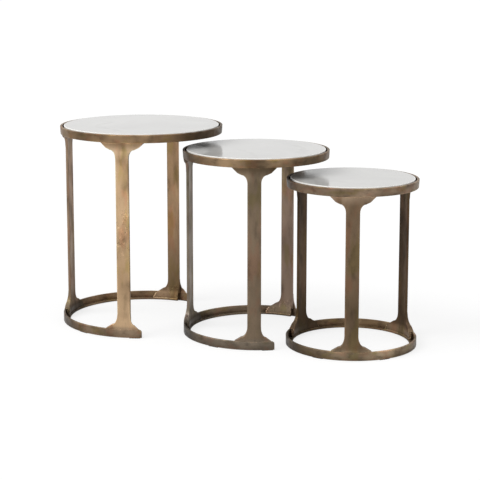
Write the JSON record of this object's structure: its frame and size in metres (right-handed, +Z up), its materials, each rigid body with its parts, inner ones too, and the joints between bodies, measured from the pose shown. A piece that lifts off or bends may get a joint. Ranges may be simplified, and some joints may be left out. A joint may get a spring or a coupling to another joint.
{
  "type": "nesting tables",
  "caption": "Nest of round side tables with inset marble tops, flat flared legs and base rings, the larger ones open on one side so the next slides under.",
  "frame": {"origin": "middle of the row's bounding box, on the floor", "axes": "+Z up, +X along the row from the large table to the small one, -Y towards the front legs"},
  "size_m": [1.0444, 0.4572, 0.563],
  "materials": {
    "metal_large": "cast, antique brass patina, satin",
    "metal_medium": "cast, antique brass patina, satin",
    "metal_small": "cast, antique brass patina, satin",
    "marble": "white marble, polished",
    "clear_pad": "clear soft pads",
    "glide": "black rubber strips",
    "screw_steel": "zinc-plated steel"
  },
  "bodies": {
    "large_table": {"large_top_ring": "metal_large", "large_marble_top": "marble", "large_marble_pads": "clear_pad", "large_front_leg": "metal_large", "large_back_leg": "metal_large", "large_side_leg": "metal_large", "large_base_ring": "metal_large", "large_glides": "glide", "large_rim_screws": "screw_steel", "large_foot_screws": "screw_steel"},
    "medium_table": {"medium_top_ring": "metal_medium", "medium_marble_top": "marble", "medium_marble_pads": "clear_pad", "medium_front_leg": "metal_medium", "medium_back_leg": "metal_medium", "medium_side_leg": "metal_medium", "medium_base_ring": "metal_medium", "medium_glides": "glide", "medium_rim_screws": "screw_steel", "medium_foot_screws": "screw_steel"},
    "small_table": {"small_top_ring": "metal_small", "small_marble_top": "marble", "small_marble_pads": "clear_pad", "small_front_leg": "metal_small", "small_right_leg": "metal_small", "small_left_leg": "metal_small", "small_base_ring": "metal_small", "small_glides": "glide", "small_rim_screws": "screw_steel", "small_foot_screws": "screw_steel"}
  },
  "joints": [
    {"name": "medium_slide", "type": "slide", "parent": "large_table", "child": "medium_table", "axis": [1, 0, 0], "range_m": [-0.352, 0.12]},
    {"name": "small_slide", "type": "slide", "parent": "medium_table", "child": "small_table", "axis": [0.98, -0.199, 0], "range_m": [-0.162, 0.12]}
  ]
}
